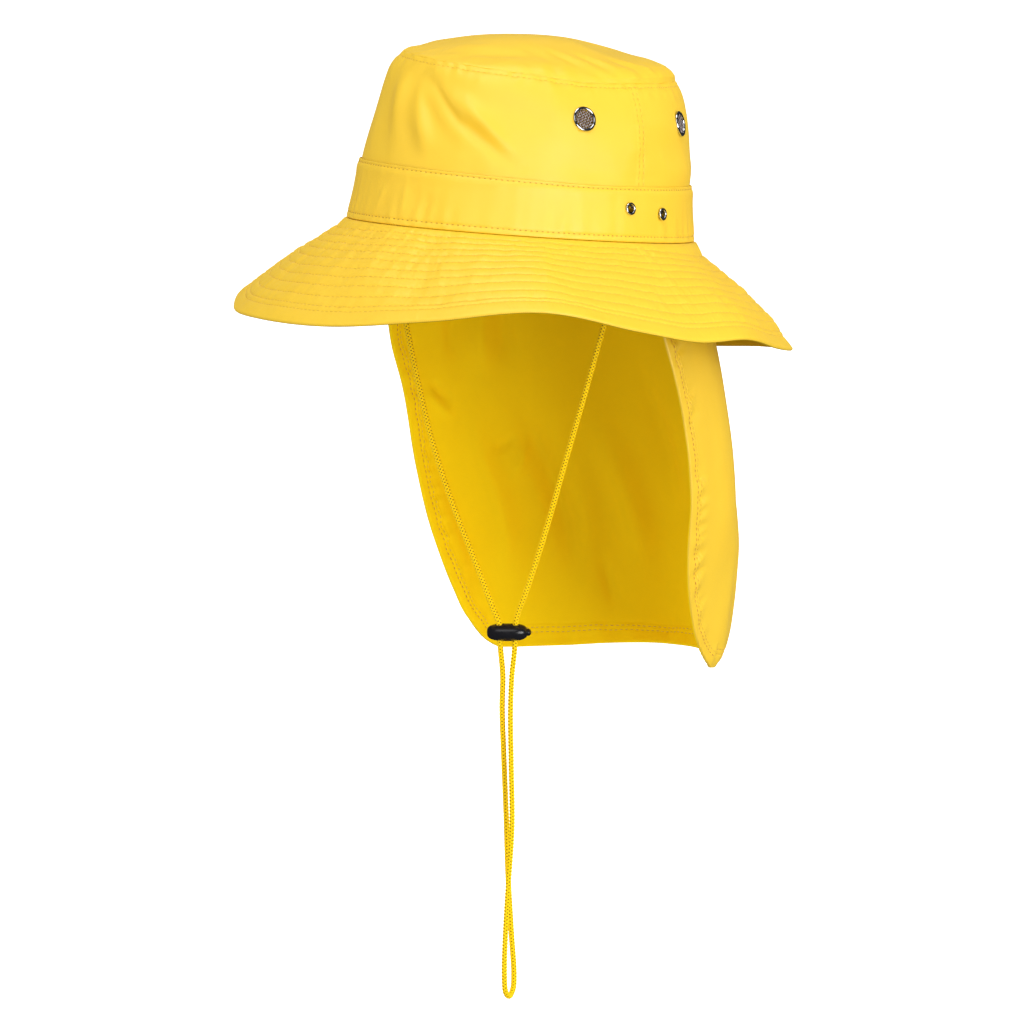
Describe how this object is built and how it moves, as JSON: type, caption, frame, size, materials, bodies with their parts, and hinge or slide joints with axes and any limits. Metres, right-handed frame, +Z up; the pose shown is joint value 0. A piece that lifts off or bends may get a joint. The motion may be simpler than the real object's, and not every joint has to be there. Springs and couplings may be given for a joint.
{
  "type": "sun hat with neck flap and chin cord",
  "caption": "Cotton sun hat with an oval crown, metal vents, a hat band, a wide stitched brim, a neck flap behind and a chin cord with a cord lock.",
  "frame": {"origin": "centre of the head opening, level with the foot of the crown, where the hat sits on a head", "axes": "+Z up as worn, the front faces -Y, the wearer's left is +X"},
  "size_m": [0.2987, 0.314, 0.526],
  "materials": {
    "cotton": "matt cotton twill",
    "cord": "matt braid",
    "chrome": "polished",
    "wire": "woven wire",
    "plastic": "glossy"
  },
  "bodies": {
    "hat": {"crown_tip": "cotton", "crown_front": "cotton", "crown_back": "cotton", "hat_band": "cotton", "brim": "cotton", "neck_flap": "cotton", "vent_ring_1": "chrome", "vent_ring_2": "chrome", "vent_ring_3": "chrome", "vent_ring_4": "chrome", "vent_mesh_1": "wire", "vent_mesh_2": "wire", "vent_mesh_3": "wire", "vent_mesh_4": "wire", "band_eyelet_1": "chrome", "band_eyelet_2": "chrome", "band_eyelet_3": "chrome", "band_eyelet_4": "chrome", "chin_cord": "cord", "cord_lock_body": "plastic"},
    "lock_button": {"cord_lock_button": "plastic"}
  },
  "joints": [
    {"name": "lock_button_press", "type": "slide", "parent": "hat", "child": "lock_button", "axis": [-0.766, -0.6428, 0], "range_m": [0, 0.0015], "stiffness_N_per_m": 1500, "springref_m": -0.002}
  ]
}
